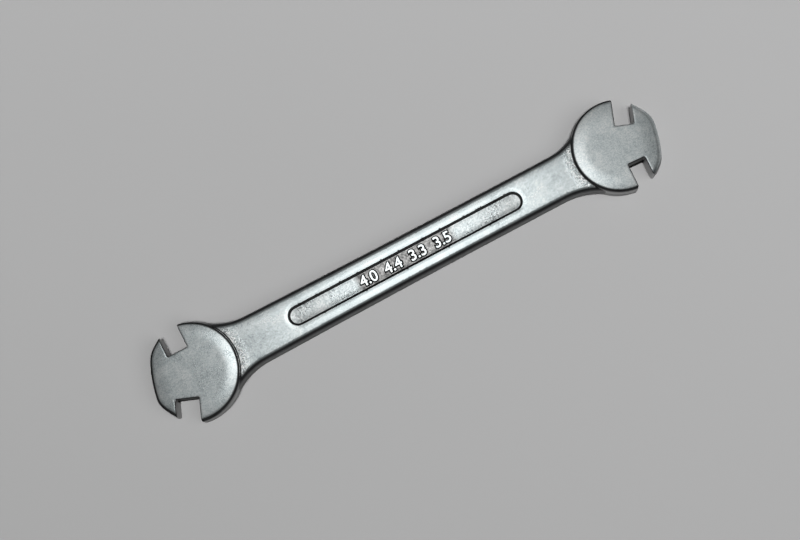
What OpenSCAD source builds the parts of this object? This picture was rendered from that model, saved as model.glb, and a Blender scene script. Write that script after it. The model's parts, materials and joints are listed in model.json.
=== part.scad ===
// Double-ended spoke wrench: a flat forged bar with a round head at each end.
// Each head has two straight-sided notches that fit the square of a spoke nipple.
// The wrench lies flat: X runs from the large head to the small one, Z is up, and
// the origin is under the middle of its length.

/* [Overall] */
// Distance between the centres of the two heads
head_spacing = 90.2; // [82:0.1:112]
// Thickness of the heads
head_t = 5; // [4.5:0.1:6.5]
// Draft of the forged rim, from the parting line to either face, in degrees
rim_draft = 6; // [2:1:9]
// Radius of the edge between the rim and a face of a head
rim_edge_r = 0.7; // [0.3:0.05:1.2]

/* [Handle] */
// Thickness of the handle
shank_t = 3.9; // [3:0.1:4.3]
// Width of the handle where the neck of the large head begins
large_neck_w = 9.5; // [8.5:0.05:11]
// Width of the handle where the neck of the small head begins
small_neck_w = 8.85; // [8:0.05:10.5]
// Radius of the long edges of the handle
shank_edge_r = 1.3; // [0.5:0.05:1.4]

/* [Necks] */
// Radius of the hollow sides of the necks
neck_r = 13; // [10:0.5:16]
// How far the hollow of a neck reaches inside the rim of its head
neck_bite = 0.25; // [0.15:0.05:0.5]
// How far the hollow of a neck dips inside the side of the handle, where the two meet
neck_dip = 0.02; // [0.01:0.01:0.05]

/* [Recess] */
// Length of the round-ended recess in either face of the handle
recess_l = 48.9; // [30:0.1:58]
// Width of the recess
recess_w = 3.9; // [2.5:0.1:5]
// Depth of the recess
recess_d = 0.5; // [0.2:0.05:0.8]

/* [Nipple squares] */
// Smaller nipple square of the large head, across flats
large_small_flats = 4; // [3.8:0.05:4.2]
// Larger nipple square of the large head, across flats
large_big_flats = 4.4; // [4.2:0.05:4.6]
// Smaller nipple square of the small head, across flats
small_small_flats = 3.3; // [3.1:0.05:3.4]
// Larger nipple square of the small head, across flats
small_big_flats = 3.5; // [3.4:0.05:3.7]
// Clearance of a notch over the nipple square that it takes
flats_clearance = 0.08; // [0.02:0.01:0.15]

/* [Large head] */
// Radius of the large head at its parting line
large_r = 9.7; // [9.3:0.05:10.5]
// Distance from the centre of the large head to the middle of its far end
large_nose_reach = 7.6; // [7.3:0.05:8]
// Distance from the centre of the large head to the flat beside its slanted notch
large_chin_reach = 8.45; // [8.2:0.05:8.8]
// Distance from the centre of the large head to the flat beside its square-set notch
large_brow_reach = 8.8; // [8.5:0.05:9.2]
// Distance from the centre of the large head to the floor of its square-set notch
large_square_floor = 4.5; // [4:0.05:5]
// Distance of that notch's centre line beyond the centre of the large head
large_square_offset = 0.4; // [0.1:0.05:0.8]
// Distance from the centre of the large head to the floor of its slanted notch
large_slant_floor = 4.8; // [4.4:0.05:5.3]
// Distance of the slanted notch's centre line beyond the centre of the large head
large_slant_offset = 1; // [0.7:0.05:1.3]

/* [Small head] */
// Radius of the small head at its parting line
small_r = 9.1; // [8.7:0.05:9.8]
// Distance from the centre of the small head to the middle of its far end
small_nose_reach = 7.8; // [7.5:0.05:8.2]
// Distance from the centre of the small head to the flat beside its slanted notch
small_chin_reach = 8.4; // [8.1:0.05:8.7]
// Distance from the centre of the small head to the flat beside its square-set notch
small_brow_reach = 8.6; // [8.3:0.05:8.9]
// Distance from the centre of the small head to the floor of its square-set notch
small_square_floor = 4.1; // [3.7:0.05:4.5]
// Distance of that notch's centre line beyond the centre of the small head
small_square_offset = 1.65; // [1.3:0.05:2]
// Distance from the centre of the small head to the floor of its slanted notch
small_slant_floor = 3.7; // [3.4:0.05:4.2]
// Distance of the slanted notch's centre line beyond the centre of the small head
small_slant_offset = 1.6; // [1.3:0.05:1.9]

/* [Head outline] */
// Radius of the far end of the heads
nose_r = 20; // [16:0.5:30]
// Direction of the middle of the far end, from the outward axis to the square-set notch, in degrees
nose_angle = 16; // [10:1:20]
// Direction of the flat beside the slanted notch, from the head's outward axis, in degrees
chin_angle = 28; // [24:1:32]
// Direction of the flat beside the square-set notch, from the head's outward axis, in degrees
brow_angle = 59; // [55:1:63]
// Direction in which the slanted notch opens, from the head's outward axis, in degrees
slant_angle = 69; // [66:1:72]
// Direction in which the square-set notch of the large head opens, in degrees
large_square_angle = 90; // [88:1:93]
// Direction in which the square-set notch of the small head opens, in degrees
small_square_angle = 93; // [90:1:95]

/* [Hidden] */
$fn = 96;
// How far a cut runs past the face that it opens
overrun = 1;
plate_grey = [0.72, 0.74, 0.74];
shank_grey = [0.66, 0.68, 0.68];
half_head_t = head_t / 2;
half_shank_t = shank_t / 2;
// Half the length over which the hollow of a neck lies inside the side of the handle
dip_l = sqrt(2 * neck_r * neck_dip);
// How far the handle runs into its necks
lap_l = 2 * dip_l;
large_end = far_end(large_nose_reach, large_chin_reach);
small_end = far_end(small_nose_reach, small_chin_reach);
overall_l = head_spacing + large_end + small_end;
large_x = large_end - overall_l / 2;
small_x = overall_l / 2 - small_end;
large_neck_l = neck_length(large_neck_w, large_r);
small_neck_l = neck_length(small_neck_w, small_r);
large_neck_x = large_x + large_neck_l;
small_neck_x = small_x - small_neck_l;
bar_l = small_neck_x - large_neck_x;
bar_taper = atan2((large_neck_w - small_neck_w) / 2, bar_l);

// Distance along the outward axis to where the far end of a head meets the flat beside its slanted notch
function far_end(nose_reach, chin_reach) =
    let (back = nose_r - nose_reach, turn = nose_angle + chin_angle,
         along = back * sin(turn) - sqrt(pow(nose_r, 2) - pow(chin_reach + back * cos(turn), 2)))
    chin_reach * cos(chin_angle) - along * sin(chin_angle);

// Distance from the centre of a head to where its neck begins
function neck_length(neck_w, r) = sqrt(pow(r + neck_r - neck_bite, 2) - pow(neck_w / 2 + neck_r, 2));

// Drafted rim with rounded edges, on the side of the plane beyond the axis
module rim_profile(r) {
    edge_z = half_head_t - rim_edge_r;
    edge_x = r - (rim_edge_r + edge_z * sin(rim_draft)) / cos(rim_draft);
    touch = [edge_x + rim_edge_r * cos(rim_draft), edge_z + rim_edge_r * sin(rim_draft)];
    for (side = [0, 1]) mirror([0, side]) {
        polygon([[0, 0], [r, 0], touch, [edge_x, edge_z], [edge_x, half_head_t], [0, half_head_t]]);
        translate([edge_x, edge_z]) circle(r = rim_edge_r);
    }
}

module disc(r) {
    rotate_extrude() rim_profile(r);
}

// Everything on the near side of a straight rim that crosses the outward axis at the distance reach
module flat_side(reach, width) {
    translate([reach, 0, 0])
        rotate([90, 0, 0])
            linear_extrude(4 * width, center = true)
                translate([-2 * width, 0]) rim_profile(2 * width);
}

// A round head whose far end is a flatter arc between two flats; its outward axis is +X
module head_blank(r, nose_reach, chin_reach, brow_reach) {
    intersection() {
        disc(r);
        rotate(-nose_angle) translate([nose_reach - nose_r, 0, 0]) disc(nose_r);
        rotate(chin_angle) flat_side(chin_reach, r);
        rotate(-brow_angle) flat_side(brow_reach, r);
    }
}

// A notch that opens in the direction of angle, its floor and centre line measured from the head's centre
module notch(angle, floor_d, offset_d, flats, reach) {
    width = flats + flats_clearance;
    rotate(angle)
        translate([floor_d, offset_d - width / 2, -half_head_t - overrun])
            cube([reach + overrun - floor_d, width, head_t + 2 * overrun]);
}

// Places a child of the large or the small head, which point opposite ways
module at_large() {
    translate([large_x, 0, half_head_t]) rotate(180) children();
}

module at_small() {
    translate([small_x, 0, half_head_t]) children();
}

// Half section of the handle, up to its outer side at y = 0
module side_profile(inner_w) {
    flat_z = half_shank_t - shank_edge_r;
    translate([-inner_w, -half_shank_t]) square([inner_w - shank_edge_r, shank_t]);
    translate([-inner_w, -flat_z]) square([inner_w, 2 * flat_z]);
    for (side = [-1, 1]) translate([-shank_edge_r, side * flat_z]) circle(r = shank_edge_r);
}

// Everything on the inner side of one long side of the handle
module side_bar(side) {
    run = lap_l + overrun;
    mirror([0, side, 0])
        translate([large_neck_x, large_neck_w / 2, 0])
            rotate(-bar_taper)
                translate([-run, 0, 0])
                    rotate([90, 0, 90])
                        linear_extrude(bar_l / cos(bar_taper) + 2 * run)
                            side_profile(2 * large_neck_w);
}

// The tapered bar between the necks
module bar() {
    intersection() {
        side_bar(0);
        side_bar(1);
        translate([large_neck_x - lap_l, -large_neck_w, -half_shank_t])
            cube([bar_l + 2 * lap_l, 2 * large_neck_w, shank_t]);
    }
}

// What the hollow side of a neck takes away, with the round of its edges
module hollow_cutter() {
    flat_z = half_shank_t - shank_edge_r;
    rotate_extrude() {
        translate([0, -half_shank_t - overrun]) square([neck_r, shank_t + 2 * overrun]);
        for (side = [0, 1]) mirror([0, side]) difference() {
            translate([neck_r, flat_z]) square([shank_edge_r, shank_edge_r + overrun]);
            translate([neck_r + shank_edge_r, flat_z]) circle(r = shank_edge_r);
        }
    }
}

// The flare from the end of the handle to the rim of a head whose centre lies at the distance length
module neck(length, neck_w, r) {
    hollow_y = neck_w / 2 + neck_r;
    hollow_d = r + neck_r - neck_bite;
    rim_share = (pow(r, 2) - pow(neck_r, 2) + pow(hollow_d, 2)) / (2 * pow(hollow_d, 2));
    half_w = hollow_y * rim_share;
    difference() {
        translate([-dip_l / 2, -half_w, -half_shank_t]) cube([length + dip_l / 2, 2 * half_w, shank_t]);
        for (side = [-1, 1]) translate([0, side * (hollow_y - neck_dip), 0]) hollow_cutter();
        translate([length, 0, 0]) disc(r);
    }
}

module recess() {
    floor_z = half_shank_t - recess_d;
    straight = recess_l - recess_w;
    for (side = [0, 1]) mirror([0, 0, side]) translate([0, 0, floor_z]) {
        translate([-straight / 2, -recess_w / 2, 0]) cube([straight, recess_w, recess_d + overrun]);
        for (end = [-1, 1]) translate([end * straight / 2, 0, 0])
            cylinder(d = recess_w, h = recess_d + overrun);
    }
}

module shank() {
    color(shank_grey) translate([0, 0, half_head_t]) difference() {
        union() {
            translate([large_neck_x, 0, 0]) rotate(180) neck(large_neck_l, large_neck_w, large_r);
            bar();
            translate([small_neck_x, 0, 0]) neck(small_neck_l, small_neck_w, small_r);
        }
        recess();
    }
}

module head_large() {
    color(plate_grey) at_large() difference() {
        head_blank(large_r, large_nose_reach, large_chin_reach, large_brow_reach);
        notch(-large_square_angle, large_square_floor, large_square_offset, large_small_flats, large_r);
        notch(slant_angle, large_slant_floor, -large_slant_offset, large_big_flats, large_r);
    }
}

module head_small() {
    color(plate_grey) at_small() difference() {
        head_blank(small_r, small_nose_reach, small_chin_reach, small_brow_reach);
        notch(-small_square_angle, small_square_floor, small_square_offset, small_small_flats, small_r);
        notch(slant_angle, small_slant_floor, -small_slant_offset, small_big_flats, small_r);
    }
}

shank();
head_large();
head_small();
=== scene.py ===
"""Looks of a double-ended spoke wrench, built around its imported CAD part.

Each solid of the forging is rebuilt as a dense sheet over its plan outline. A height field
lifts the sheet: the draft and rounded edge of the rims, the crown of the heads, the sharp
little bevels of the notches and the sunk panel of the handle. The lower half mirrors the upper.
Plan sizes are in millimetres and become metres when a mesh is made.
"""

import json
import math

import bpy
import numpy as np
from mathutils import Matrix, Vector
from mathutils.geometry import delaunay_2d_cdt


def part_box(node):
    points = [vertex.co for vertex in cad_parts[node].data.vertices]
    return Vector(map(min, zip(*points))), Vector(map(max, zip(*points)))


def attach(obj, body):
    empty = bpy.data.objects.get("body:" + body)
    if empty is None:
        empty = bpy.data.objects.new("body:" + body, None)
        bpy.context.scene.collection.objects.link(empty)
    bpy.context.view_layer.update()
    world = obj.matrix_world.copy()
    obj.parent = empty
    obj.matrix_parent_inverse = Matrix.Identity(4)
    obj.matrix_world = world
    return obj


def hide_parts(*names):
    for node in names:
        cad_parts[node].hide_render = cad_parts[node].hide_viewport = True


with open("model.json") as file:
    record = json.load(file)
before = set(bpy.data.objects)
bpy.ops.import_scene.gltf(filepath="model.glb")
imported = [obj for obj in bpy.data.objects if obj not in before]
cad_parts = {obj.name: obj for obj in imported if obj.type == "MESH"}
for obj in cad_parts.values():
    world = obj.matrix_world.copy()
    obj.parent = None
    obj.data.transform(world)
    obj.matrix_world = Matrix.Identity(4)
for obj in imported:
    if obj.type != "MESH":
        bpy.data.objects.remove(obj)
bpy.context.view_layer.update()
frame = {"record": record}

MM = 0.001

# Heads: mount at the centre, outward direction in degrees, distances to the far end and to the flats
# beside the notches, how far the round rim lies inside the CAD's own, nipple squares that the notches fit,
# and reach of the rounding of the outer jaws' tips.
# Their edges at the handle's end (near) and at the far end: drop and width of the face's roll-off,
# radius of the rounded edge, draft of the rim in degrees
HEADS = {
    "head_large": {
        "rest": "rest_large_head", "outward": 180.0, "nose": 7.57, "chin": 8.57, "brow": 8.83, "inset": 0.01,
        "near": (0.145, 2.4, 0.64, 10.0), "far": (0.045, 2.2, 0.95, 6.0),
        "notches": {"nipple_4_0": 4.0, "nipple_4_4": 4.4}, "tips": (0.50, 0.45),
    },
    "head_small": {
        "rest": "rest_small_head", "outward": 0.0, "nose": 7.82, "chin": 8.50, "brow": 8.90, "inset": 0.05,
        "near": (0.150, 2.6, 0.64, 6.5), "far": (0.070, 3.2, 0.80, 6.0),
        "notches": {"nipple_3_3": 3.3, "nipple_3_5": 3.5}, "tips": (1.00, 0.40),
    },
}
NOSE_R = 26.0            # radius of the far end
NOSE_ANGLE = -16.0       # directions of the far end and of the flats, from the outward one, in degrees
CHIN_ANGLE = 31.5
BROW_ANGLE = -58.0
CORNER_BLEND = 1.10      # how softly the arcs and flats of a head's outline run together
MIN_LEAN = 0.3           # keeps the flats clear of the back of a head
EDGE_CHANGE = 0.9        # how fast a head's edge changes from near to far
FLATS_CLEARANCE = 0.08   # how much wider a notch is than its nipple square
FLOOR_FILLET = 0.22      # in the inner corners of a notch
INNER_TRIM = 0.80        # reach of the rounding of the inner jaws' tips
NOTCH_BEVEL = 0.19
NOTCH_ROLL = 0.030       # drop and width of the shallow roll-off around a notch
NOTCH_ROLL_W = 0.45

# Handle: half widths where the necks begin, hollow of its sides, radii of the necks
LARGE_NECK_HALF = 4.83
SMALL_NECK_HALF = 4.47
WAIST = 0.14
LARGE_NECK_R = {1: 12.8, -1: 12.7}
SMALL_NECK_R = {1: 10.2, -1: 13.5}
NECK_BITE = 0.42         # how far the end of the handle lies inside the rim of a head
SIDE_BITE = 0.14         # the same where its sides run out
SIDE_DRAFT = math.tan(math.radians(2.5))
SHANK_EDGE_R = 1.15
LIP_DROP = 0.13          # how far the handle's face sinks from its flat middle to its edge
LIP_W = 2.3
STEP_FILLET = 0.14       # rise of the handle's face against the rim of a head
STEP_FILLET_W = 0.32
STEP_IN = 0.34           # where the rounded edge of a head passes the handle's face, inside the rim
PANEL_HALF_L = 24.45
PANEL_HALF_W = 1.84
PANEL_DEPTH = 0.50
PANEL_LIP = 0.12         # where the wall of the panel begins, outside its outline
PANEL_TOE = 0.42         # where it ends, inside its outline
PANEL_ROLL = 0.035       # part of the depth that belongs to the roll-off around the panel
PANEL_ROLL_W = 0.80
PANEL_DISH = 0.055       # part of the depth that belongs to the hollow of the floor
PANEL_DISH_W = 1.10

# Spacing of the mesh
RIM_STEP = 0.22
SIDE_STEP = 0.45
GRID_STEP = 0.62
MIN_GAP = 0.012
RIM_POINTS = 1441        # a point of a head's rim for each quarter of a degree
JAW_POINTS = 400         # points of the rim between two notches, before their even spacing
BAR_POINTS = 80          # points of a long side, a neck and an end of the handle
NECK_POINTS = 24
END_POINTS = 60
CORNER_POINTS = 4        # points in an inner corner of a notch and around a jaw's tip
TIP_POINTS = 5
PROBE = 0.002            # step for slopes of the height fields
PARTING_GAP = 0.01       # lower points of an upper half lie on the parting plane
MERGE_GAP = 1e-7         # points closer than this count as one
INSIDE_ONLY = 1          # the triangulation keeps what lies inside the outline
BATCH = 1000             # points measured at a time

# Rows of points: by angle around rounded edges, and as shares of the width on the rest
EDGE_TURNS = np.radians([18, 32, 46, 58, 70])
CROWN_ROWS = np.array([0, 0.12, 0.26, 0.44, 0.7, 1.0, 1.4])
BEVEL_ROWS = np.array([0.3, 0.65, 1.0])
NOTCH_ROLL_ROWS = np.array([0.4, 0.65, 1.0])
SIDE_TURNS = np.radians([0, 10, 20, 30, 40, 50, 60, 70, 80, 90])
LIP_ROWS = 6             # a count, from the rounded edge to the flat middle
PANEL_ROLL_ROWS = np.array([0.15, 0.35, 0.6, 1.0])
PANEL_WALL_ROWS = np.linspace(0, 1, 9)
STEP_ROWS = np.linspace(0.1, 1.1, 6)
# Points in a row: along the wall of a notch in millimetres, along its floor as shares of half its width,
# around the ends of the panel and along the heads' rims by angle
WALL_PLACES = np.linspace(0.05, 8, 60)
FLOOR_PLACES = np.linspace(-1, 1, 28)
CAP_TURNS = np.radians(np.arange(-90, 91, 7.5))
STEP_TURNS = np.radians(np.arange(-60, 60, 1.5))

# Search for the place where the wall of a notch meets the rim
MOUTH = 4.0              # a point in the mouth of a notch lies this far from its floor
SEARCH_ANGLE = 60
HALVINGS = 50

MARKS = "4.0  4.4  3.3  3.5"
MARK_SIZE = 3.0
MARK_SPAN = 19.4
MARK_RISE = 0.26         # of the numerals above the panel's floor, with sides that slope at 45 degrees
MARK_WEIGHT = 0.03       # widening of the numerals' strokes

# Finish: base roughness, heights of the grain and of the pits, contrast of the speckle, painted light
# on the face (painted shade below zero), grey of the walls' painted shade, upward share of the normal by
# which they begin, share of the painted shade on the rims
LOOKS = {
    "head_large": {
        "polish": 0.24, "grain": 0.003, "pits": 0.01, "speckle": 0.28, "lift": 0.01,
        "wall": 0.54, "side": (0.18, 0.45), "rims": 0.7,
    },
    "head_small": {
        "polish": 0.27, "grain": 0.003, "pits": 0.01, "speckle": 0.28, "lift": 0.035,
        "wall": 0.62, "side": (0.18, 0.45), "rims": 0.7,
    },
    "shank": {
        "polish": 0.22, "grain": 0.002, "pits": 0.05, "speckle": 0.24, "lift": -0.03,
        "wall": 0.25, "side": (0.36, 0.72), "rims": 0.0,
    },
    "size_marks": {
        "polish": 0.20, "grain": 0.002, "pits": 0.01, "speckle": 0.20, "lift": 0.06,
        "wall": 0.07, "side": (0.10, 0.30), "rims": 0.0,
    },
}
EDGE_LEVEL = (0.88, 0.98)      # upward share of the normal in which the painted shade of the edges fades out
PIT_LEVEL = (0.85, 0.97)       # the same in which the pits set in

# Patterns: features to the millimetre, detail, roughness
CLOUD = (0.30, 3.0, 0.55)
GRAIN = (6.5, 2.0, 0.6)
STIPPLE = (2.1, 2.0, 0.6)
# Mottle of the painted shade on the panel's floor
PANEL_SHADE_MOTTLE = (1.6, 3.0, 0.7)
SCUFFS = (1.2, 3.0, 0.6)
DENTS = (1.7, 1.0, 0.4)
SPECKLE_SCALE = 5.6
SPECKLE_REACH = (6.0, 30.0)    # the speckle sets in between these distances from the middle
DENT_LEVEL = (0.77, 0.83)      # the pattern's highest spots, which are dents
CLOUD_SHARE = 0.6              # what the cloud gives to the tone of the face
PIT_CONTRAST = 0.75            # what the pits add to the speckle

# What the cloud, the walls and the pits add to the roughness
CLOUD_ROUGH = 0.08
WALL_ROUGH = 0.14
PIT_ROUGH = 0.04

# Tones from place to place of a mask or pattern: greys or colours
FACE_TONES = [
    (0.0, (0.27, 0.29, 0.295)), (0.15, (0.485, 0.54, 0.550)), (0.30, (0.620, 0.678, 0.684)),
    (0.45, (0.750, 0.79, 0.788)), (0.65, (0.95, 0.955, 0.94)),
]
# Painted shade in the turn of the edges
EDGE_SHADE_TONES = [(0.3, (0.030, 0.031, 0.032)), (0.7, (0.050, 0.051, 0.052))]
# Tones of the painted shade on the panel's floor
PANEL_SHADE_MOTTLE_TONES = [(0.35, 0.10), (0.65, (0.50, 0.50, 0.49))]
# Tones of the darkened walls: notch floors and the rims' painted shade
DARKENED_WALL_TONES = [(0.3, 0.07), (0.7, (0.11, 0.108, 0.105))]
WALL_SPREAD = 0.03             # how far the walls' grey goes up and down
# Specular tint that paints shade into the edges' grazing reflection
EDGE_SHADE_TINT = [(0.0, 0.9), (1.0, 0.05)]
# Specular tint that paints shade into the walls' reflection
WALL_SHADE_TINT = [(0.0, 0.08), (0.3, 0.36), (0.7, 0.44)]
# Painted shade on the heads' rims from the parting line, 0, to the faces, 1
RIM_BANDS = [(0.0, 0.60), (0.16, 0.22), (0.45, 0.0), (0.78, 1.0)]

# Where painted light and shade, the darker notch floors and the pits lie
LIT_TIP = (47.5, 51.0)        # along X, where painted light brightens the small head's edges
LIT_TIP_SHARE = 0.80
FLOOR_ABOVE = 0.05             # the panel's floor counts fully up to this height above it
FLOOR_BELOW = 0.3              # and not at all above this depth below the face
PANEL_SHADE_ENDS = (-0.3, 0.9)        # the painted shade fades out about the ends of the row of numerals
END_SHADE_REACH = 11.0             # length and strength of the painted shade at each end of the panel
END_SHADE_SHARE = 0.5
NOTCH_DARK_REACH = (0.05, 0.45)     # the darkening fades out in front of a notch's floor
NOTCH_DARK_MARGIN = 0.02
NOTCH_DARK_LEVELS = (-0.2, 0.5)     # about the mid plane, where it grows fainter upwards
NOTCH_DARK_SHARE = 0.5
RIM_LEAN = (0.55, 0.80)        # a rim's normal points this much away from the head's centre
RIM_MARGIN = (0.6, 0.8)        # the rims' painted shade ends outside the round rim
PIT_REACH = (0.3, 1.9)         # the handle's pits fade out beside the rims of the heads
PANEL_PITS = 0.42

# Stage, in metres
PAPER_HALF = 20.0
PAPER_CLOUD = (6.0, 3.0, 0.5)  # features to the metre, detail, roughness
PAPER_CLOUD_SHARE = 0.3
PAPER_LIGHT_HEADING = 40.0             # plan heading of the painted light on the paper, lighter that way, in degrees
PAPER_LIGHT_REACH = 0.09             # distance from the middle at which the painted light's gradient ends
PAPER_TONES = [(0.1, 0.366), (1.0, (0.444, 0.444, 0.446))]
PAPER_ROUGHNESS = 0.9
PAPER_GLOSS = 0.1
# Brightness of the room from the horizon, 0, to straight above, 1
ROOM = [(0.0, 0.50), (0.30, 0.46), (0.62, 0.22), (0.80, 0.19)]
ROOM_LIGHT = 0.015             # strength of the light that the room itself sheds
SOFT_BOX_PLACE = (0.0165, 0.084, 0.60)
SOFT_BOX_SIZE = 0.19
SOFT_BOX_RADIANCE = 2.6
PAPER_LAMPS = {                # place that the light comes from, strength, angular size in degrees
    "paper_key": ((-0.005, -0.049, 0.28), 0.84, 8.0),
    "paper_fill": ((0.145, -0.145, 0.28), 0.24, 40.0),
}
CAMERA_PLACE = Vector((-0.00466, -0.04869, 0.27935))
CAMERA_AIM = Vector((-0.00185, -0.00112, 0.0025))
PICTURE_UP = 62.337            # plan heading of the picture's up direction, in degrees
LENS = 67.5                    # focal length and sensor width, in millimetres
SENSOR = 36.0
CLIP = (0.01, 100.0)


# Plan geometry

def unit(angle):
    """Plan direction for an angle in degrees."""
    return np.array([math.cos(math.radians(angle)), math.sin(math.radians(angle))])


def rays(angles):
    """Plan directions for angles in radians."""
    return np.stack([np.cos(angles), np.sin(angles)], -1)


def left_of(direction):
    return np.array([-direction[1], direction[0]])


def left_normals(path):
    """Plan normals along a path, to the left of its direction."""
    run = np.gradient(path, axis=0)
    normal = np.stack([-run[:, 1], run[:, 0]], 1)
    return normal / np.linalg.norm(normal, axis=1)[:, None]


def mount(name):
    """Plan position in millimetres and plan axis of one of the record's mounts."""
    found = next(m for m in frame["record"]["mounts"] if m["name"] == name)
    return np.array(found["pos_m"][:2]) / MM, np.array(found["axis"][:2], float)


def node_box(node):
    """Corners of a node's box in millimetres."""
    low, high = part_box(node)
    return np.array(low) / MM, np.array(high) / MM


def half_thickness(node):
    low, high = node_box(node)
    return (high[2] - low[2]) / 2


HALF_T = half_thickness("head_large")
HALF_SHANK_T = half_thickness("shank")


def soft_min(a, b, width):
    """The smaller of two lengths, blended where they are alike."""
    share = np.clip(0.5 + 0.5 * (b - a) / width, 0, 1)
    return b * (1 - share) + a * share - width * share * (1 - share)


def ease(share):
    """A share from 0 to 1 that starts and ends gently."""
    return share * share * (3 - 2 * share)


def lengths(path):
    """Length along a path at each of its points."""
    return np.concatenate([[0], np.cumsum(np.linalg.norm(np.diff(path, axis=0), axis=1))])


def at_lengths(path, wanted):
    """Points of a path at the wanted lengths along it."""
    along = lengths(path)
    return np.stack([np.interp(wanted, along, path[:, k]) for k in (0, 1)], 1)


def resample(path, step):
    """Points along a path at an even spacing of about step."""
    path = np.asarray(path, float)
    total = lengths(path)[-1]
    return at_lengths(path, np.linspace(0, total, max(2, int(round(total / step)) + 1)))


def trim(path, head, tail):
    """The path without its first and last stretches, given as lengths."""
    along = lengths(path)
    inner = along[(along > head) & (along < along[-1] - tail)]
    return at_lengths(path, np.concatenate([[head], inner, [along[-1] - tail]]))


def curve_over(start, corner, end, count):
    """A short curve that rounds off a corner, without its two ends."""
    t = np.linspace(0, 1, count + 2)[1:-1, None]
    return (1 - t) ** 2 * start + 2 * t * (1 - t) * corner + t ** 2 * end


def path_distance(points, path):
    """Distance of each point from an open path."""
    start, end = path[:-1], path[1:]
    run = end - start
    length2 = (run ** 2).sum(1)
    best = np.empty(len(points))
    for i in range(0, len(points), BATCH):
        gap = points[i:i + BATCH, None] - start
        t = np.clip((gap * run).sum(2) / length2, 0, 1)
        best[i:i + BATCH] = np.sqrt(((gap - t[..., None] * run) ** 2).sum(2).min(1))
    return best


def thin(points, kept, gap):
    """Drops points that lie closer than gap to an earlier one or to a kept one."""
    seen = {tuple(np.round(p / gap).astype(int)) for p in kept}
    out = []
    for p in points:
        x, y = np.round(p / gap).astype(int)
        if not any((x + i, y + j) in seen for i in (-1, 0, 1) for j in (-1, 0, 1)):
            seen.add((x, y))
            out.append(p)
    return np.array(out).reshape(-1, 2)


def hex_grid(low, high, step):
    """Points at an even spacing, in staggered rows between two corners."""
    rows = []
    for k, y in enumerate(np.arange(low[1], high[1], step * math.sqrt(3) / 2)):
        x = np.arange(low[0] + (k % 2) * step / 2, high[0], step)
        rows.append(np.stack([x, np.full_like(x, y)], 1))
    return np.concatenate(rows)


def inside(points, outline):
    """Which points lie inside a closed outline."""
    x, y = points[:, 0, None], points[:, 1, None]
    a, b = outline, np.roll(outline, -1, 0)
    crosses = (a[:, 1] > y) != (b[:, 1] > y)
    with np.errstate(divide="ignore", invalid="ignore"):
        at = a[:, 0] + (y - a[:, 1]) / (b[:, 1] - a[:, 1]) * (b[:, 0] - a[:, 0])
    return ((x < at) & crosses).sum(1) % 2 == 1


def keep_inside(rows, outline):
    """The points of all rows that lie inside a closed outline and clear of it."""
    points = np.concatenate(rows)
    points = points[inside(points, outline)]
    return points[path_distance(points, np.vstack([outline, outline[:1]])) > MIN_GAP * 2]


# Heads

class Notch:
    """A straight-sided notch, placed by the mount at the centre of its seated nipple."""

    def __init__(self, name, flats):
        seat, self.out = mount(name)
        self.side = left_of(self.out)
        self.floor = seat - self.out * flats / 2
        self.half = (flats + FLATS_CLEARANCE) / 2

    def clear_of(self, points):
        """Distance from the notch, which has rounded inner corners."""
        rel = points - self.floor
        gap = np.stack([np.abs(rel @ self.side) - self.half, -(rel @ self.out)], 1) + FLOOR_FILLET
        return np.linalg.norm(np.maximum(gap, 0), axis=1) + np.minimum(gap.max(1), 0) - FLOOR_FILLET

    def wall_crossing(self, head, side):
        """Angle about the head's centre at which one wall meets the rim."""
        middle = math.degrees(math.atan2(*(self.floor + self.out * MOUTH - head.centre)[::-1]))
        low, high = (middle - SEARCH_ANGLE, middle) if side < 0 else (middle, middle + SEARCH_ANGLE)
        for _ in range(HALVINGS):
            half = (low + high) / 2
            if (head.rim(half) - self.floor) @ self.side < side * self.half:
                low = half
            else:
                high = half
        return half

    def path(self, start, end, rows):
        """From the rim down one wall, along the floor and back up the other wall."""
        floor = [self.floor + self.side * s * self.half for s in (-1, 1)]
        ends = [start, *floor, end]
        down, across, up = (resample([a, b], RIM_STEP) for a, b in zip(ends, ends[1:]))
        path = [near_first(down, rows)]
        for run, last in ((across, False), (up, True)):
            head = trim(path[-1], 0, FLOOR_FILLET)
            tail = trim(run, FLOOR_FILLET, 0)
            path[-1] = head
            path.append(curve_over(head[-1], run[0], tail[0], CORNER_POINTS))
            path.append(near_first(tail[::-1], rows)[::-1] if last else tail)
        return np.concatenate(path)


def near_first(run, rows):
    """Adds points near the start of a run, where the rim that it leaves is steep."""
    along = np.linalg.norm(run - run[0], axis=1)
    at = np.unique(np.round(np.concatenate([along, rows]), 4))
    at = at[at <= along[-1]]
    return run[0] + np.outer(at / along[-1], run[-1] - run[0])


def rim_edge(drop, width, radius, draft):
    """Centre of a rim's rounded edge, as depth and height, and the depths at which it begins and ends."""
    low = np.radians(draft)
    high = math.pi / 2 - np.arctan(2 * drop / width)
    start_z = HALF_T - drop - radius * (np.sin(high) - np.sin(low))
    start = start_z * np.tan(low)
    centre = start + radius * np.cos(low)
    return (centre, start_z - radius * np.sin(low)), start, centre - radius * np.cos(high)


def rim_rows(drop, width, radius, draft):
    """Distances from the rim at which the mesh has a row of points."""
    (centre, _), start, end = rim_edge(drop, width, radius, draft)
    edge = centre - radius * np.cos(EDGE_TURNS)
    return np.concatenate([[start / 2, start], edge, end + width * CROWN_ROWS])


def rim_height(depth, drop, width, radius, draft):
    """Height of a head above its mid plane, by the distance inside its rim."""
    (centre, level), start, end = rim_edge(drop, width, radius, draft)
    edge = level + np.sqrt(np.maximum(0, radius ** 2 - (centre - depth) ** 2))
    crown = HALF_T - drop * np.clip(1 - (depth - end) / width, 0, 1) ** 2
    return np.where(depth < start, depth / np.tan(np.radians(draft)), np.where(depth < end, edge, crown))


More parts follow.
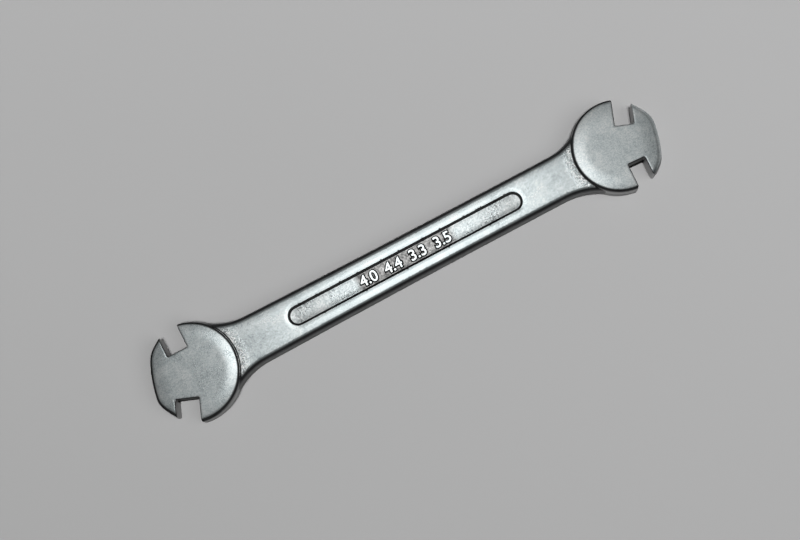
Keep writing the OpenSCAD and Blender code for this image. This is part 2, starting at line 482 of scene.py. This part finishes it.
def bevel(clear):
    """How far the edge of a notch has sunk the face, by the distance from the notch."""
    gap = np.clip(1 - clear / NOTCH_BEVEL, 0, 1)
    roll = NOTCH_ROLL * np.clip(1 - clear / NOTCH_ROLL_W, 0, 1) ** 2
    return roll + NOTCH_BEVEL * (1 - np.sqrt(1 - gap ** 2))


class Head:
    """Round head with a flatter far end and two notches."""

    def __init__(self, node, spec):
        low, high = node_box(node)
        self.centre = mount(spec["rest"])[0]
        self.turn = spec["outward"]
        self.r = (high[0] - self.centre[0] if self.turn else self.centre[0] - low[0]) - spec["inset"]
        self.spec = spec
        self.notches = [Notch(name, flats) for name, flats in spec["notches"].items()]
        self.rows = rim_rows(*spec["near"])
        self.rim_path = self.rim(np.linspace(0, 360, RIM_POINTS))
        self.outline = self.closed_outline()

    def reach(self, angle):
        """Distance from the centre to the rim, by the angle from the outward axis."""
        ray = np.radians(angle)
        nose = math.radians(NOSE_ANGLE)
        back = NOSE_R - self.spec["nose"]
        along = -back * np.cos(ray - nose)
        far = along + np.sqrt(along ** 2 - back ** 2 + NOSE_R ** 2)
        reach = soft_min(np.full_like(ray, self.r), far, CORNER_BLEND)
        for flat, distance in ((CHIN_ANGLE, "chin"), (BROW_ANGLE, "brow")):
            lean = np.cos(ray - math.radians(flat))
            straight = self.spec[distance] / np.maximum(lean, MIN_LEAN)
            reach = soft_min(reach, straight, CORNER_BLEND)
        return reach

    def rim(self, angle):
        """Point of the rim in the direction of a plan angle in degrees."""
        angle = np.asarray(angle, float)
        return self.centre + rays(np.radians(angle)) * self.reach(angle - self.turn)[..., None]

    def depth(self, points):
        """Distance inside the rim, negative outside it."""
        rel = points - self.centre
        angle = np.degrees(np.arctan2(rel[:, 1], rel[:, 0]))
        sign = np.sign(self.reach(angle - self.turn) - np.linalg.norm(rel, axis=1))
        return sign * path_distance(points, self.rim_path)

    def closed_outline(self):
        """Rim and notch walls as one closed line, anticlockwise, with rounded jaw tips."""
        cuts = []
        for notch in self.notches:
            first, last = (notch.wall_crossing(self, side) for side in (-1, 1))
            cuts.append((first % 360, first % 360 + (last - first), notch))
        cuts.sort(key=lambda cut: cut[0])
        following = cuts[1:] + [(cuts[0][0] + 360, 0, cuts[0][2])]
        runs, tips = [], []
        for (first, last, notch), (next_first, _, next_notch) in zip(cuts, following):
            jaw = self.rim(np.linspace(last, next_first, JAW_POINTS))
            runs += [notch.path(self.rim(first), self.rim(last), self.rows), resample(jaw, RIM_STEP)]
            tips += [self.tip(last, notch), self.tip(next_first, next_notch)]
        closed = []
        for k, run in enumerate(runs):
            body = trim(run, tips[k - 1], tips[k])
            start = trim(runs[(k + 1) % len(runs)], tips[k], 0)[0]
            closed += [body, curve_over(body[-1], run[-1], start, TIP_POINTS)]
        return np.concatenate(closed)

    def tip(self, angle, notch):
        """Rounding of the jaw's tip at an angle of the rim."""
        outer = math.cos(math.radians(angle - self.turn)) > notch.out @ unit(self.turn)
        return self.spec["tips"][self.notches.index(notch)] if outer else INNER_TRIM

    def edge_shape(self, points):
        """Shape of the rim's edge, which changes from the handle's end to the far end."""
        lean = (points - self.centre) @ unit(self.turn) / self.r
        share = ease(np.clip(0.5 + EDGE_CHANGE * lean, 0, 1))
        return [near + (far - near) * share for near, far in zip(self.spec["near"], self.spec["far"])]

    def height(self, points):
        """Height of the face above the mid plane."""
        z = rim_height(self.depth(points), *self.edge_shape(points))
        for notch in self.notches:
            z = z - bevel(notch.clear_of(points))
        return np.maximum(z, 0)

    def seeds(self):
        """Points inside the outline: rows along the rim and the notches, then an even grid."""
        inward = left_normals(self.rim_path)
        every = max(1, int(RIM_STEP / np.linalg.norm(self.rim_path[1] - self.rim_path[0])))
        rows = [self.rim_path[:-1:every] + inward[:-1:every] * depth for depth in self.rows]
        rows.append(self.notch_rows())
        rows.append(hex_grid(self.rim_path.min(0), self.rim_path.max(0), GRID_STEP))
        return keep_inside(rows, self.outline)

    def notch_rows(self):
        """Points beside the notches that carry the small bevel."""
        rows = []
        gaps = np.concatenate([NOTCH_BEVEL * BEVEL_ROWS, NOTCH_ROLL_W * NOTCH_ROLL_ROWS])
        for notch in self.notches:
            wall = WALL_PLACES[:, None] * notch.out
            floor = FLOOR_PLACES[:, None] * notch.side * notch.half
            for gap in gaps:
                rows += [notch.floor + wall + s * notch.side * (notch.half + gap) for s in (-1, 1)]
                rows.append(notch.floor + floor - notch.out * gap)
        return np.concatenate(rows)


# Handle

def panel_drop(gap):
    """How far the panel has sunk the handle's face, at a distance outside its outline."""
    roll = PANEL_ROLL * np.clip(1 - (gap - PANEL_LIP) / PANEL_ROLL_W, 0, 1) ** 2
    share = np.clip((PANEL_LIP - gap) / (PANEL_LIP + PANEL_TOE), 0, 1)
    wall = (PANEL_DEPTH - PANEL_ROLL - PANEL_DISH) * ease(share)
    dish = PANEL_DISH * (1 - np.clip(1 + (gap + PANEL_TOE) / PANEL_DISH_W, 0, 1) ** 2)
    return roll + wall + np.where(gap < -PANEL_TOE, dish, 0)


class Shank:
    """The bar between the heads, with flared necks and a sunk panel on both faces."""

    def __init__(self, large, small):
        self.heads = (large, small)
        self.draft = (HALF_SHANK_T - SHANK_EDGE_R - LIP_DROP) * SIDE_DRAFT
        self.sides = [self.side_path(1), self.side_path(-1)]
        self.outline = self.closed_outline()

    def neck(self, head, half, side, radius, toward):
        """Centre of a neck's hollow, which lies where the neck begins along X."""
        span = head.r + radius - SIDE_BITE
        x = head.centre[0] + toward * math.sqrt(span ** 2 - (half + radius) ** 2)
        return np.array([x, side * (half + radius)])

    def side_path(self, side):
        """One long side from rim to rim, in the direction of +X."""
        large, small = self.heads
        radii = (LARGE_NECK_R[side], SMALL_NECK_R[side])
        first = self.neck(large, LARGE_NECK_HALF, side, radii[0], 1)
        last = self.neck(small, SMALL_NECK_HALF, side, radii[1], -1)
        t = np.linspace(0, 1, BAR_POINTS)[1:-1]
        half = LARGE_NECK_HALF + (SMALL_NECK_HALF - LARGE_NECK_HALF) * t - WAIST * 4 * t * (1 - t)
        bar = np.stack([first[0] + (last[0] - first[0]) * t, side * half], 1)
        start = self.hollow(first, radii[0], large.centre, side)
        end = self.hollow(last, radii[1], small.centre, side)[::-1]
        return np.concatenate([start, bar, end])

    def hollow(self, centre, radius, head_centre, side):
        """Arc of a neck from the rim of its head to where the bar begins."""
        toward = head_centre - centre
        first = math.atan2(toward[1], toward[0])
        last = -side * math.pi / 2
        if first - last > math.pi:
            first -= 2 * math.pi
        if last - first > math.pi:
            first += 2 * math.pi
        return centre + radius * rays(np.linspace(first, last, NECK_POINTS))

    def end_arc(self, head, start, end):
        """Along the rim of a head, just inside it."""
        first, last = (math.atan2(*(p - head.centre)[::-1]) for p in (start, end))
        if abs(last - first) > math.pi:
            first, last = (v + 2 * math.pi if v < 0 else v for v in (first, last))
        return head.centre + (head.r - NECK_BITE) * rays(np.linspace(first, last, END_POINTS))

    def closed_outline(self):
        """Both long sides and both ends as one closed line, anticlockwise."""
        upper, lower = (resample(side, SIDE_STEP) for side in self.sides)
        right = self.end_arc(self.heads[1], lower[-1], upper[-1])
        left = self.end_arc(self.heads[0], upper[0], lower[0])
        return np.concatenate([lower[:-1], right[:-1], upper[::-1][:-1], left[:-1]])

    def panel_gap(self, points):
        """Distance outside the outline of the sunk panel, negative inside it."""
        straight = PANEL_HALF_L - PANEL_HALF_W
        x = points[:, 0] - np.clip(points[:, 0], -straight, straight)
        return np.hypot(x, points[:, 1]) - PANEL_HALF_W

    def height(self, points):
        """Height of the face above the mid plane."""
        depth = np.minimum(*(path_distance(points, side) for side in self.sides))
        gap = np.clip(1 - (depth - self.draft) / SHANK_EDGE_R, 0, 1)
        z = HALF_SHANK_T - SHANK_EDGE_R * (1 - np.sqrt(1 - gap ** 2))
        z = z - LIP_DROP * np.clip(1 - depth / LIP_W, 0, 1) ** 2
        z = np.minimum(depth / SIDE_DRAFT, z - panel_drop(self.panel_gap(points)))
        for head in self.heads:
            step = np.linalg.norm(points - head.centre, axis=1) - head.r + STEP_IN
            z = z + STEP_FILLET * np.clip(1 - step / STEP_FILLET_W, 0, 1) ** 2 * (1 - gap)
        return z

    def seeds(self):
        """Points inside the outline: rows along the sides, the panel and the heads, then an even grid."""
        rows = [self.side_rows(), self.panel_rows(), self.step_rows()]
        rows.append(hex_grid(self.outline.min(0), self.outline.max(0), 2 * GRID_STEP))
        return keep_inside(rows, self.outline)

    def side_rows(self):
        """Points along the rounded edges and lips of the long sides."""
        rows = []
        edge = self.draft + SHANK_EDGE_R * (1 - np.cos(SIDE_TURNS))
        depths = np.concatenate([edge, np.linspace(edge[-1], LIP_W, LIP_ROWS)[1:]])
        for side, sign in zip(self.sides, (-1, 1)):
            path = resample(side, SIDE_STEP)
            inward = sign * left_normals(path)
            rows += [path + inward * depth for depth in depths]
        return np.concatenate(rows)

    def panel_rows(self):
        """Points along the roll-off, wall and floor of the panel."""
        rows = []
        straight = PANEL_HALF_L - PANEL_HALF_W
        x = np.linspace(-straight, straight, int(2 * straight / SIDE_STEP))
        roll = PANEL_LIP + PANEL_ROLL_W * PANEL_ROLL_ROWS
        wall = PANEL_LIP - PANEL_WALL_ROWS * (PANEL_LIP + PANEL_TOE)
        dish = -PANEL_TOE - PANEL_DISH_W * PANEL_ROLL_ROWS
        for gap in np.concatenate([roll, wall, dish]):
            half = PANEL_HALF_W + gap
            cap = [straight, 0] + half * rays(CAP_TURNS)
            rows += [np.stack([x, np.full_like(x, s * half)], 1) for s in (-1, 1)]
            rows += [cap, cap * [-1, 1]]
        return np.concatenate(rows)

    def step_rows(self):
        """Points where the face rises against the rims of the heads."""
        rows = []
        for head in self.heads:
            rise = head.r - STEP_IN + STEP_FILLET_W * STEP_ROWS
            turn = STEP_TURNS + math.radians(head.turn + 180)
            rows += [head.centre + r * rays(turn) for r in rise]
        return np.concatenate(rows)


# Meshes

def put(name, data):
    """A new object in the scene."""
    obj = bpy.data.objects.new(name, data)
    bpy.context.scene.collection.objects.link(obj)
    return obj


def triangles(outline, seeds):
    """Points of the outline and the seeds, the triangles between them, and the outline's points in order."""
    seeds = thin(seeds, outline, MIN_GAP)
    points = np.concatenate([outline, seeds])
    count = len(outline)
    edges = [(i, (i + 1) % count) for i in range(count)]
    made = delaunay_2d_cdt([Vector(p) for p in points], edges, [], INSIDE_ONLY, MERGE_GAP)
    plan = np.array([tuple(v) for v in made[0]])
    order = {source: i for i, sources in enumerate(made[3]) for source in sources}
    loop = [order[i] for i in range(count)]
    return plan, [tuple(f) for f in made[2]], loop


def slopes(points, height):
    """Upward normals of a height field at the points."""
    x, y = np.array([PROBE, 0]), np.array([0, PROBE])
    dx = (height(points + x) - height(points - x)) / (2 * PROBE)
    dy = (height(points + y) - height(points - y)) / (2 * PROBE)
    normal = np.stack([-dx, -dy, np.ones(len(points))], 1)
    return normal / np.linalg.norm(normal, axis=1)[:, None]


def wall_normals(loop_points):
    """Outward normals along a closed anticlockwise line, level with the mid plane."""
    run = np.roll(loop_points, -1, 0) - np.roll(loop_points, 1, 0)
    normal = np.stack([run[:, 1], -run[:, 0], np.zeros(len(run))], 1)
    return normal / np.linalg.norm(normal, axis=1)[:, None]


def forged_piece(name, body):
    """A closed mesh from a body's outline, seeds and height, alike above and below the mid plane."""
    plan, faces, loop = triangles(body.outline, body.seeds())
    z = body.height(plan)
    up = slopes(plan, body.height)
    out = wall_normals(plan[loop])
    count = len(plan)
    flat = z < PARTING_GAP
    up[loop] = np.where(flat[loop][:, None], out, up[loop])
    z = np.where(flat, 0, z)
    verts = np.concatenate([np.column_stack([plan, HALF_T + z]), np.column_stack([plan, HALF_T - z])])
    below = np.where(flat, np.arange(count), np.arange(count) + count)
    down = up * [1, 1, -1]
    polygons, corners = [], []
    for f in faces:
        polygons += [f, tuple(below[i] for i in reversed(f))]
        corners += [up[i] for i in f] + [down[i] for i in reversed(f)]
    for k, i in enumerate(loop):
        following = (k + 1) % len(loop)
        j = loop[following]
        ring = [(below[i], k), (below[j], following), (j, following), (i, k)]
        ring = [c for m, c in enumerate(ring) if c[0] not in [d[0] for d in ring[:m]]]
        if len(ring) > 2:
            polygons.append(tuple(c[0] for c in ring))
            corners += [out[c[1]] for c in ring]
    mesh = bpy.data.meshes.new(name)
    mesh.from_pydata([tuple(v) for v in verts * MM], [], polygons)
    mesh.polygons.foreach_set("use_smooth", [True] * len(mesh.polygons))
    mesh.normals_split_custom_set([tuple(corner) for corner in corners])
    return put(name, mesh)


def size_marks(name, flip):
    """Raised size numerals on the floor of the panel, on the upper or the lower face."""
    text = bpy.data.curves.new(name, "FONT")
    text.body = MARKS
    text.size = MARK_SIZE * MM
    text.align_x, text.align_y = "CENTER", "CENTER"
    text.offset = MARK_WEIGHT * MM
    text.bevel_depth = MARK_RISE * MM
    text.bevel_resolution = 0
    holder = put(name + "_text", text)
    bpy.context.view_layer.update()
    mesh = bpy.data.meshes.new_from_object(holder.evaluated_get(bpy.context.evaluated_depsgraph_get()))
    bpy.data.objects.remove(holder)
    mesh.name = name
    width = max(v.co.x for v in mesh.vertices) - min(v.co.x for v in mesh.vertices)
    middle = (max(v.co.y for v in mesh.vertices) + min(v.co.y for v in mesh.vertices)) / 2
    floor = HALF_SHANK_T - PANEL_DEPTH
    place = Matrix.Translation((0, 0, HALF_T * MM))
    if flip:
        place = place @ Matrix.Rotation(math.pi, 4, "X")
    place = place @ Matrix.Translation((0, 0, floor * MM))
    place = place @ Matrix.Diagonal((MARK_SPAN * MM / width, 1, 1, 1)) @ Matrix.Translation((0, -middle, 0))
    mesh.transform(place)
    return put(name, mesh)


# Materials

class Nodes:
    """Short hand for building a node tree."""

    def __init__(self, owner):
        owner.use_nodes = True
        self.tree = owner.node_tree
        self.shader = self.tree.nodes.get("Principled BSDF")

    def add(self, kind, links=None, **settings):
        node = self.tree.nodes.new(kind)
        for key, value in settings.items():
            setattr(node, key, value)
        for socket, source in (links or {}).items():
            self.join(source, node.inputs[socket])
        return node

    def join(self, source, target):
        if isinstance(source, bpy.types.NodeSocket):
            self.tree.links.new(source, target)
        else:
            target.default_value = source

    def math(self, operation, a, b=0.0, c=0.0, clamp=False):
        return self.add("ShaderNodeMath", {0: a, 1: b, 2: c}, operation=operation, use_clamp=clamp).outputs[0]

    def vector(self, operation, *values):
        """A vector, or a number where the operation gives one."""
        node = self.add("ShaderNodeVectorMath", dict(enumerate(values)), operation=operation)
        return node.outputs["Value" if operation in ("DOT_PRODUCT", "DISTANCE", "LENGTH") else "Vector"]

    def xyz(self, vector):
        return self.add("ShaderNodeSeparateXYZ", {0: vector}).outputs

    def noise(self, vector, scale, detail, roughness):
        links = {"Vector": vector, "Scale": scale, "Detail": detail, "Roughness": roughness}
        return self.add("ShaderNodeTexNoise", links).outputs["Fac"]

    def ramp(self, value, stops):
        """Tones by value; each stop has a place and a grey or a colour."""
        node = self.add("ShaderNodeValToRGB", {"Fac": value})
        elements = node.color_ramp.elements
        while len(elements) < len(stops):
            elements.new(0.5)
        for element, (position, tone) in zip(elements, stops):
            colour = tone if isinstance(tone, tuple) else (tone,) * 3
            element.position = position
            element.color = (*colour, 1.0)
        return node.outputs["Color"]

    def blend(self, factor, a, b):
        return self.add("ShaderNodeMix", {0: factor, 6: a, 7: b}, data_type="RGBA").outputs[2]

    def between(self, value, low, high):
        """Rises from 0 to 1 between two values."""
        links = {"Value": value, "From Min": low, "From Max": high}
        return self.add("ShaderNodeMapRange", links, clamp=True).outputs["Result"]

    def below(self, value, low, high):
        """Falls from 1 to 0 between two values."""
        return self.math("SUBTRACT", 1.0, self.between(value, low, high))


def satin_chrome(name, pitting, look):
    """Satin plate: grain everywhere, pits where pitting says, painted shade on the edges and on the rougher
    side walls.
    """
    material = bpy.data.materials.new(name)
    n = Nodes(material)
    mm = n.vector("MULTIPLY", n.add("ShaderNodeTexCoord").outputs["Object"], (1 / MM,) * 3)
    normal = n.add("ShaderNodeNewGeometry").outputs["Normal"]
    facing = n.math("ABSOLUTE", n.xyz(normal)["Z"])
    # Painted shade on the rounded edges, lessened where painted light brightens the small head's end
    edge = n.math("MULTIPLY", n.below(facing, *EDGE_LEVEL), edge_shade_left(n, mm))
    # Painted shade on the side walls, in each look's wall grey
    wall = n.below(facing, *look["side"])
    cloud = n.noise(mm, *CLOUD)
    pits = n.math("MULTIPLY", pitting(n, mm), n.between(facing, *PIT_LEVEL))
    # Darker notch floors, and on the heads painted shade along the rims
    rim_shade_and_notch_dark = notch_floor_dark(n, mm)
    if look["rims"]:
        rim_shade_and_notch_dark = n.math("MAXIMUM", rim_shade_and_notch_dark, n.math("MULTIPLY", rim_shade(n, mm, normal), look["rims"]))
    n.shader.inputs["Metallic"].default_value = 1.0
    n.join(plate_colour(n, mm, cloud, (edge, wall, pits, rim_shade_and_notch_dark), look), n.shader.inputs["Base Color"])
    # Painted shade in the walls' specular tint
    shaded_tint = n.ramp(n.math("SUBTRACT", cloud, rim_shade_and_notch_dark), WALL_SHADE_TINT)
    n.join(n.blend(wall, n.ramp(edge, EDGE_SHADE_TINT), shaded_tint), n.shader.inputs["Specular Tint"])
    rough = n.math("ADD", n.math("MULTIPLY", cloud, CLOUD_ROUGH), look["polish"])
    rough = n.math("ADD", rough, n.math("MULTIPLY", wall, WALL_ROUGH))
    n.join(n.math("ADD", rough, n.math("MULTIPLY", pits, PIT_ROUGH)), n.shader.inputs["Roughness"])
    grain = n.math("MULTIPLY", n.noise(mm, *GRAIN), look["grain"])
    stipple = n.math("MULTIPLY", n.noise(mm, *STIPPLE), n.math("MULTIPLY", pits, look["pits"]))
    height = n.math("MULTIPLY", n.math("ADD", grain, stipple), MM)
    bump = n.add("ShaderNodeBump", {"Height": height, "Strength": 1.0, "Distance": 1.0})
    n.join(bump.outputs["Normal"], n.shader.inputs["Normal"])
    return material


def plate_colour(n, mm, cloud, masks, look):
    """Chrome with a cool cast that comes and goes and a fine speckle; painted shade in the turn of its edges,
    on its walls, the heads' rims and the panel's floor, and darker notch floors.
    """
    edge, wall, pits, rim_shade_and_notch_dark = masks
    ends = n.between(n.math("ABSOLUTE", n.xyz(mm)["X"]), *SPECKLE_REACH)
    cell = n.add("ShaderNodeTexVoronoi", {"Vector": mm, "Scale": SPECKLE_SCALE}).outputs["Color"]
    cell = n.math("SUBTRACT", n.add("ShaderNodeSeparateColor", {0: cell}).outputs["Red"], 0.5)
    speckle = n.math("MULTIPLY", ends, look["speckle"])
    contrast = n.math("ADD", n.math("MULTIPLY", pits, PIT_CONTRAST), speckle)
    # The look's lift is painted light on the face, painted shade where it is below zero
    value = n.math("MULTIPLY_ADD", cloud, CLOUD_SHARE, look["lift"])
    value = n.math("ADD", value, n.math("MULTIPLY", cell, contrast))
    # Painted shade on the panel's floor, mottled
    panel_shade_tone = n.ramp(n.noise(mm, *PANEL_SHADE_MOTTLE), PANEL_SHADE_MOTTLE_TONES)
    face = n.blend(panel_shade_mask(n, mm), n.ramp(value, FACE_TONES), panel_shade_tone)
    turn = n.ramp(cloud, EDGE_SHADE_TONES)
    grey = look["wall"]
    side = n.ramp(n.noise(mm, *SCUFFS), [(0.3, grey - WALL_SPREAD), (0.7, grey + WALL_SPREAD)])
    side = n.blend(rim_shade_and_notch_dark, side, n.ramp(cloud, DARKENED_WALL_TONES))
    return n.blend(wall, n.blend(edge, face, turn), side)


def sunk(n, mm):
    """Mask of the panel's floor."""
    _, y, z = n.xyz(mm)
    level = n.math("ABSOLUTE", n.math("SUBTRACT", z, HALF_T))
    low = n.below(level, HALF_SHANK_T - PANEL_DEPTH + FLOOR_ABOVE, HALF_SHANK_T - FLOOR_BELOW)
    return n.math("MULTIPLY", low, n.math("LESS_THAN", n.math("ABSOLUTE", y), PANEL_HALF_W))


def panel_shade_mask(n, mm):
    """Mask of painted shade on the panel's floor: dark between the numerals, fainter at the panel's ends."""
    x = n.math("ABSOLUTE", n.xyz(mm)["X"])
    near = n.below(x, *(MARK_SPAN / 2 + past for past in PANEL_SHADE_ENDS))
    far = n.between(x, PANEL_HALF_L - END_SHADE_REACH, PANEL_HALF_L)
    return n.math("MULTIPLY", n.math("MULTIPLY_ADD", far, END_SHADE_SHARE, near), sunk(n, mm))


def edge_shade_left(n, mm):
    """Share of the edges' painted shade that is left, less at the small head's end, where painted light
    brightens them.
    """
    lit_share = n.math("MULTIPLY", n.between(n.xyz(mm)["X"], *LIT_TIP), LIT_TIP_SHARE)
    return n.math("SUBTRACT", 1.0, lit_share)


def notch_floor_dark(n, mm):
    """Mask that darkens the floors of the notches, more below the mid plane than above."""
    total = 0.0
    for notch in (notch for head in heads.values() for notch in head.notches):
        out = n.math("SUBTRACT", n.vector("DOT_PRODUCT", mm, (*notch.out, 0)), float(notch.floor @ notch.out))
        across = n.vector("DOT_PRODUCT", mm, (*notch.side, 0))
        across = n.math("SUBTRACT", across, float(notch.floor @ notch.side))
        near = n.below(n.math("ABSOLUTE", out), *NOTCH_DARK_REACH)
        within = n.math("LESS_THAN", n.math("ABSOLUTE", across), notch.half + NOTCH_DARK_MARGIN)
        total = n.math("MULTIPLY_ADD", near, within, total)
    low = n.below(n.xyz(mm)["Z"], *(HALF_T + level for level in NOTCH_DARK_LEVELS))
    return n.math("MULTIPLY", total, n.math("MULTIPLY_ADD", low, NOTCH_DARK_SHARE, 1.0 - NOTCH_DARK_SHARE))


def rim_shade(n, mm, normal):
    """Mask of painted shade on the heads' outer rims: along the parting line and toward the edges, none
    between, which leaves a light stripe.
    """
    total = 0.0
    for head in heads.values():
        arm = n.vector("SUBTRACT", mm, (*head.centre, HALF_T))
        rim = n.between(n.vector("DOT_PRODUCT", n.vector("NORMALIZE", arm), normal), *RIM_LEAN)
        close = n.below(n.vector("LENGTH", arm), *(head.r + margin for margin in RIM_MARGIN))
        total = n.math("MULTIPLY_ADD", rim, close, total)
    level = n.math("SUBTRACT", n.xyz(mm)["Z"], HALF_T)
    bands = n.ramp(n.math("DIVIDE", n.math("ABSOLUTE", level), HALF_T), RIM_BANDS)
    return n.math("MULTIPLY", total, bands)


def dings(n, mm):
    """A few small dents, far apart."""
    return n.between(n.noise(mm, *DENTS), *DENT_LEVEL)


def shank_pits(n, mm):
    """Pitting beside the rims of the heads and on the floor of the panel."""
    total = 0.0
    for head in heads.values():
        gap = n.vector("DISTANCE", mm, (*head.centre, HALF_T))
        total = n.math("ADD", total, n.below(gap, *(head.r + reach for reach in PIT_REACH)))
    return n.math("ADD", total, n.math("MULTIPLY", sunk(n, mm), PANEL_PITS), clamp=True)


# Stage

def floor_material():
    """Matt paper with painted light, lighter to one side."""
    material = bpy.data.materials.new("paper")
    n = Nodes(material)
    place = n.add("ShaderNodeTexCoord").outputs["Object"]
    cloud = n.noise(place, *PAPER_CLOUD)
    # Painted light: the paper grows lighter toward one heading
    along = n.vector("DOT_PRODUCT", place, (*unit(PAPER_LIGHT_HEADING), 0))
    paper_light = n.between(along, -PAPER_LIGHT_REACH, PAPER_LIGHT_REACH)
    paper_light = n.math("ADD", paper_light, n.math("MULTIPLY", cloud, PAPER_CLOUD_SHARE))
    n.join(n.ramp(paper_light, PAPER_TONES), n.shader.inputs["Base Color"])
    n.shader.inputs["Roughness"].default_value = PAPER_ROUGHNESS
    n.shader.inputs["Specular IOR Level"].default_value = PAPER_GLOSS
    return material


def make_floor():
    mesh = bpy.data.meshes.new("floor")
    corners = [(x * PAPER_HALF, y * PAPER_HALF, 0) for x, y in ((-1, -1), (1, -1), (1, 1), (-1, 1))]
    mesh.from_pydata(corners, [], [(0, 1, 2, 3)])
    floor = put("floor", mesh)
    floor.data.materials.append(floor_material())


def lamp(name, kind, place, power, **settings):
    """A lamp that shines from its place to the origin and that the camera doesn't see."""
    data = bpy.data.lights.new(name, kind)
    data.energy = power
    for key, value in settings.items():
        setattr(data, key, value)
    obj = put(name, data)
    obj.location = place
    obj.rotation_mode = "QUATERNION"
    obj.rotation_quaternion = (-Vector(place)).to_track_quat("-Z", "Y")
    obj.visible_camera = False
    return obj


def disc_power(radiance, diameter):
    """Power of a round area lamp whose surface has the given radiance."""
    return radiance * math.pi * math.pi * (diameter / 2) ** 2


def make_room():
    """Pale walls under a dimmer ceiling for what is seen or mirrored, and next to no light of their own."""
    world = bpy.data.worlds.new("room")
    bpy.context.scene.world = world
    n = Nodes(world)
    faint = n.tree.nodes["Background"]
    faint.inputs["Color"].default_value = (1.0, 1.0, 1.0, 1.0)
    faint.inputs["Strength"].default_value = ROOM_LIGHT
    rise = n.xyz(n.add("ShaderNodeTexCoord").outputs["Generated"])["Z"]
    seen = n.add("ShaderNodeBackground", {"Color": n.ramp(rise, ROOM)}).outputs[0]
    path = n.add("ShaderNodeLightPath").outputs
    direct = n.math("ADD", path["Is Camera Ray"], path["Is Glossy Ray"])
    direct = n.math("ADD", direct, path["Is Transmission Ray"], clamp=True)
    mix = n.add("ShaderNodeMixShader", {0: direct, 1: faint.outputs[0], 2: seen}).outputs[0]
    n.join(mix, n.tree.nodes["World Output"].inputs["Surface"])


def make_lights():
    """Light from beside the camera for the paper, and a compact soft box that the metal mirrors."""
    for name, (place, strength, spread) in PAPER_LAMPS.items():
        sun = lamp(name, "SUN", place, strength * math.pi, angle=math.radians(spread))
        sun.visible_glossy = False
    power = disc_power(SOFT_BOX_RADIANCE, SOFT_BOX_SIZE)
    soft = lamp("soft_box", "AREA", SOFT_BOX_PLACE, power, shape="DISK", size=SOFT_BOX_SIZE)
    soft.visible_diffuse = False


def make_camera():
    data = bpy.data.cameras.new("camera")
    data.lens, data.sensor_width = LENS, SENSOR
    data.clip_start, data.clip_end = CLIP
    camera = put("camera", data)
    forward = (CAMERA_AIM - CAMERA_PLACE).normalized()
    right = forward.cross(Vector((*unit(PICTURE_UP), 0))).normalized()
    axes = Matrix((right, right.cross(forward), -forward)).transposed()
    camera.matrix_world = Matrix.Translation(CAMERA_PLACE) @ axes.to_4x4()
    bpy.context.scene.camera = camera


# Assembly

def dress(obj, material, *nodes):
    """Gives a piece its material and its body, and hides the nodes that it stands for."""
    obj.data.materials.clear()
    obj.data.materials.append(material)
    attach(obj, "root")
    if nodes:
        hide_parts(*nodes)


heads = {node: Head(node, spec) for node, spec in HEADS.items()}
shank = Shank(heads["head_large"], heads["head_small"])
for node, head in heads.items():
    dress(forged_piece(node + "_visual", head), satin_chrome(node, dings, LOOKS[node]), node)
dress(forged_piece("shank_visual", shank), satin_chrome("shank", shank_pits, LOOKS["shank"]), "shank")
raised = satin_chrome("size_marks", dings, LOOKS["size_marks"])
for face, flip in (("upper", False), ("lower", True)):
    dress(size_marks("size_marks_" + face, flip), raised)

make_floor()
make_room()
make_lights()
make_camera()
bpy.context.scene.view_settings.view_transform = "Standard"
